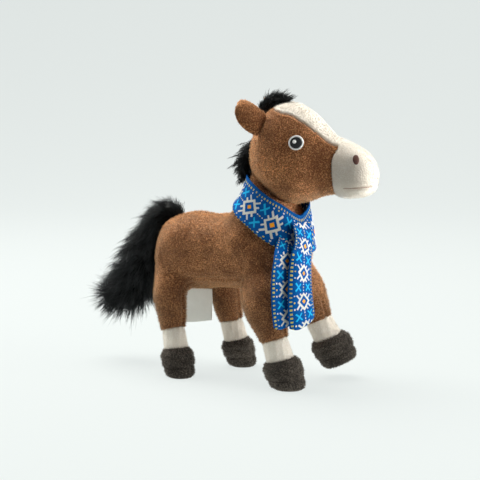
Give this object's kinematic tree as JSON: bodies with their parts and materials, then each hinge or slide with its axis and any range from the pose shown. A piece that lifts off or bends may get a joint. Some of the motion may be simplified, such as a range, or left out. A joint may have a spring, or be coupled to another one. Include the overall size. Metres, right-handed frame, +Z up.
{
  "type": "plush horse",
  "caption": "Standing stuffed toy horse of short plush with long-haired mane, forelock and tail, embroidered eyes and a woven ribbon tied round its neck as a scarf.",
  "frame": {"origin": "middle of the bounding box on the floor under the standing hooves", "axes": "+X the way the horse faces, along its length, +Y its left side, +Z up"},
  "size_m": [0.2406, 0.094, 0.2102],
  "materials": {
    "plush_brown": "short dense plush, brown",
    "plush_cream": "short dense plush, cream",
    "plush_hoof": "short plush, near black brown",
    "long_hair": "long pile fur cloth, black",
    "fibre_filling": "loose polyester fibre",
    "white_thread": "satin stitch embroidery, off-white",
    "black_thread": "satin stitch embroidery, black",
    "brown_thread": "satin stitch embroidery, brown",
    "woven_ribbon": "woven jacquard ribbon, royal blue with a folk pattern",
    "satin_label": "white satin tape, left bare"
  },
  "bodies": {
    "body": {"body_side_panel_right": "plush_brown", "body_side_panel_left": "plush_brown", "belly_gusset": "plush_brown", "body_stuffing": "fibre_filling", "scarf_band": "woven_ribbon", "leg_sleeve_right_hind": "plush_brown", "leg_sleeve_left_hind": "plush_brown", "leg_sleeve_right_front": "plush_brown", "leg_sleeve_left_front": "plush_brown", "sock_right_hind": "plush_cream", "sock_left_hind": "plush_cream", "sock_right_front": "plush_cream", "sock_left_front": "plush_cream", "hoof_wall_right_hind": "plush_hoof", "hoof_wall_left_hind": "plush_hoof", "hoof_wall_right_front": "plush_hoof", "hoof_wall_left_front": "plush_hoof", "sole_right_hind": "plush_hoof", "sole_left_hind": "plush_hoof", "sole_right_front": "plush_hoof", "sole_left_front": "plush_hoof", "leg_stuffing_right_hind": "fibre_filling", "leg_stuffing_left_hind": "fibre_filling", "leg_stuffing_right_front": "fibre_filling", "leg_stuffing_left_front": "fibre_filling"},
    "head": {"head_side_right": "plush_brown", "head_side_left": "plush_brown", "blaze_panel": "plush_cream", "muzzle": "plush_cream", "head_stuffing": "fibre_filling", "mouth_stitch": "brown_thread", "forelock": "long_hair", "mane": "long_hair", "eye_ring_right": "white_thread", "eye_ring_left": "white_thread", "eye_pupil_right": "black_thread", "eye_pupil_left": "black_thread", "eye_glint_right": "white_thread", "eye_glint_left": "white_thread", "nostril_right": "brown_thread", "nostril_left": "brown_thread"},
    "ear_right": {"ear_right_back": "plush_brown", "ear_right_lining": "plush_brown"},
    "ear_left": {"ear_left_back": "plush_brown", "ear_left_lining": "plush_brown"},
    "tail": {"tail": "long_hair"},
    "scarf_end_front": {"scarf_end_front": "woven_ribbon"},
    "scarf_end_under": {"scarf_end_under": "woven_ribbon"},
    "care_label": {"care_label": "satin_label"}
  },
  "joints": [
    {"name": "head_turn", "type": "hinge", "parent": "body", "child": "head", "pos_m": [0.04704, -0.00464, 0.1418], "axis": [0.6455, 0, 0.7638], "range_deg": [-15, 15], "stiffness_Nm_per_rad": 0.06},
    {"name": "ear_right_flop", "type": "hinge", "parent": "head", "child": "ear_right", "pos_m": [0.04689, -0.02532, 0.18846], "axis": [0.1165, 0.4784, 0.8704], "range_deg": [-20, 20], "stiffness_Nm_per_rad": 0.0006},
    {"name": "ear_left_flop", "type": "hinge", "parent": "head", "child": "ear_left", "pos_m": [0.03596, 0.01282, 0.18846], "axis": [0.3523, -0.3439, 0.8704], "range_deg": [-20, 20], "stiffness_Nm_per_rad": 0.0006},
    {"name": "tail_lift", "type": "hinge", "parent": "body", "child": "tail", "pos_m": [-0.04698, -0.00464, 0.12083], "axis": [0, 1, 0], "range_deg": [0, 25], "stiffness_Nm_per_rad": 0.02},
    {"name": "scarf_end_front_swing", "type": "hinge", "parent": "body", "child": "scarf_end_front", "pos_m": [0.07072, -0.00464, 0.11735], "axis": [0, -1, 0], "range_deg": [0, 45], "stiffness_Nm_per_rad": 0.0002},
    {"name": "scarf_end_under_swing", "type": "hinge", "parent": "body", "child": "scarf_end_under", "pos_m": [0.07264, -0.02364, 0.09687], "axis": [0, -1, 0], "range_deg": [0, 45], "stiffness_Nm_per_rad": 0.0002},
    {"name": "care_label_swing", "type": "hinge", "parent": "body", "child": "care_label", "pos_m": [-0.03025, 0.00404, 0.06106], "axis": [1, 0, 0], "range_deg": [-25, 8], "stiffness_Nm_per_rad": 0.0001}
  ],
  "couplings": [
    {"joint": "scarf_end_under_swing", "follows": "scarf_end_front_swing", "ratio": 1}
  ]
}
